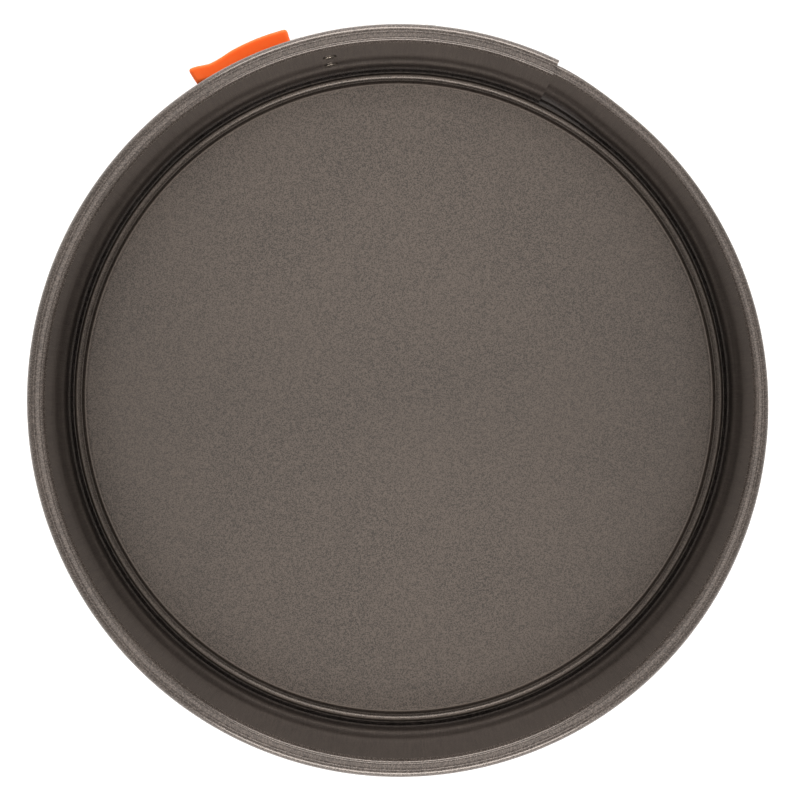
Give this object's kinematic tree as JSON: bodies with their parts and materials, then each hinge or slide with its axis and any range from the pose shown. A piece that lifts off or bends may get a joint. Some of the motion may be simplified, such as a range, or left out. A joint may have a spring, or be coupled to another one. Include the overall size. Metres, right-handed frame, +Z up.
{
  "type": "springform pan",
  "caption": "Round springform cake pan with a rolled-rim band, a loose raised-floor base resting in its foot, and an over-centre lever latch with a soft grip.",
  "frame": {"origin": "on the pan's axis, at the plane that the band's foot rests on", "axes": "+Z up along the pan's axis; +Y towards the lap of the band; the lever lies on the -X side of +Y"},
  "size_m": [0.2404, 0.2433, 0.07],
  "materials": {
    "band_coating": "dark warm grey non-stick coating, semi-gloss",
    "base_coating": "dark warm grey non-stick coating with a fine metallic speckle",
    "rivet_coating": "coated with the band",
    "latch_steel": "zinc-plated steel, satin",
    "soft_grip": "orange soft silicone, matte"
  },
  "bodies": {
    "band": {"band_left": "band_coating", "latch_bracket": "latch_steel", "bracket_rivets": "rivet_coating", "pivot_pin": "latch_steel"},
    "outer_end": {"band_right": "band_coating", "keeper": "latch_steel"},
    "lever": {"latch_lever": "latch_steel", "lever_grip": "soft_grip"},
    "bail": {"draw_bail": "latch_steel"},
    "base": {"base_disc": "base_coating"}
  },
  "joints": [
    {"name": "lever_swing", "type": "hinge", "parent": "band", "child": "lever", "pos_m": [-0.01453, 0.11831, 0.0415], "axis": [0, 0, -1], "range_deg": [0, 165]},
    {"name": "bail_turn", "type": "hinge", "parent": "lever", "child": "bail", "pos_m": [-0.0175, 0.11795, 0.0415], "axis": [0, 0, -1], "range_deg": [-165, 0]},
    {"name": "band_flex", "type": "hinge", "parent": "band", "child": "outer_end", "pos_m": [0, -0.1202, 0.035], "axis": [0, 0, -1], "range_deg": [0, 1.42], "deforming": ["band_left", "band_right"]},
    {"name": "base_lift", "type": "slide", "parent": "band", "child": "base", "axis": [0, 0, 1], "range_m": [0, 0.085]}
  ],
  "couplings": [
    {"joint": "bail_turn", "follows": "lever_swing", "ratio": -1},
    {"joint": "band_flex", "follows": "lever_swing", "ratio": 0.0086131}
  ]
}
